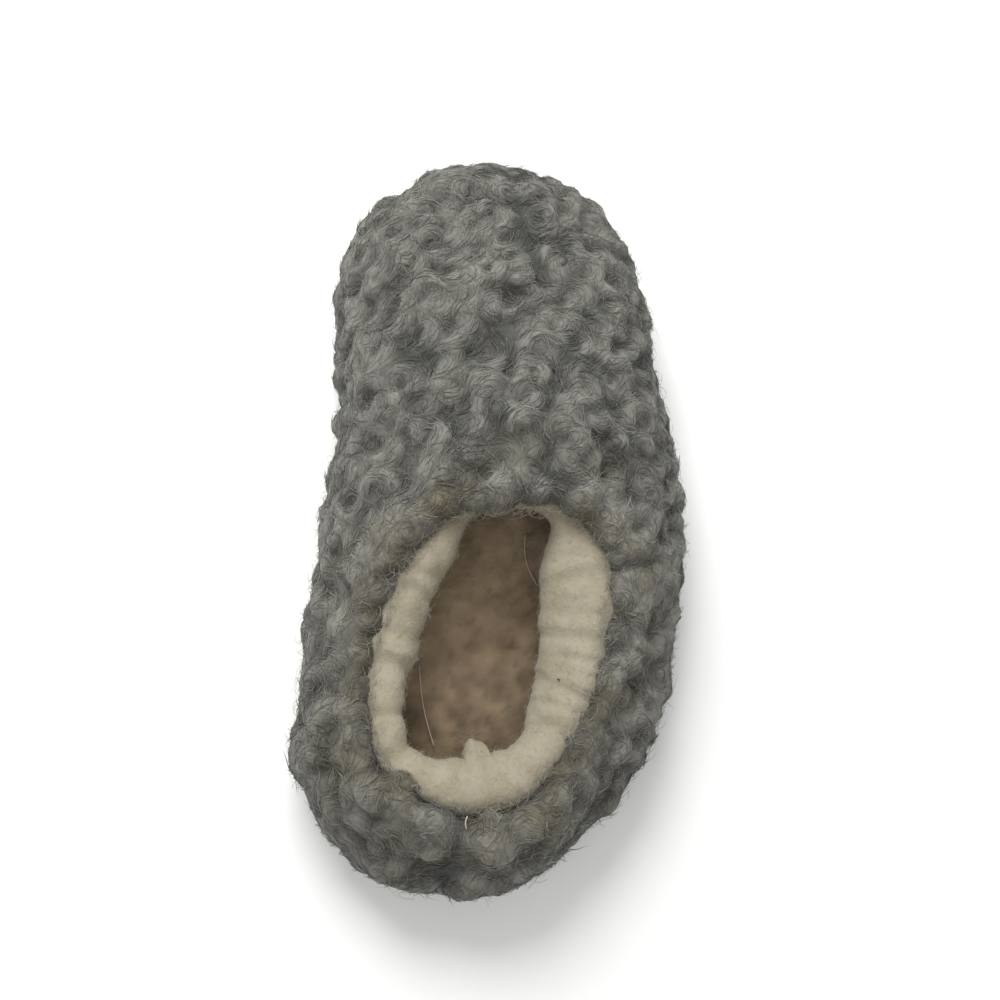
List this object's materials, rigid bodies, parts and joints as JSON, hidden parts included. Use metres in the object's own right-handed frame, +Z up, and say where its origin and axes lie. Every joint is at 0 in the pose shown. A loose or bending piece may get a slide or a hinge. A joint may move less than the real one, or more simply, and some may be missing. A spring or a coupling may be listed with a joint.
{
  "type": "slipper",
  "caption": "Low closed-heel house slipper for the right foot: a curly wool fleece upper with a rolled cream fleece collar, on a fleecy insole and a flat felt outsole.",
  "frame": {"origin": "middle of the slipper's footprint box, on the floor that it stands on", "axes": "+Y from heel to toe, +X to the outer side of the right foot, +Z up"},
  "size_m": [0.1312, 0.2642, 0.0691],
  "materials": {
    "sole_felt": "pressed wool felt, matt",
    "insole_fleece": "short wool fleece, matt",
    "grey_fleece": "curly wool fleece, matt with a soft sheen",
    "cream_fleece": "felted wool fleece, matt"
  },
  "bodies": {
    "root": {"outsole": "sole_felt", "insole": "insole_fleece", "upper": "grey_fleece", "collar_roll": "cream_fleece"}
  },
  "joints": []
}
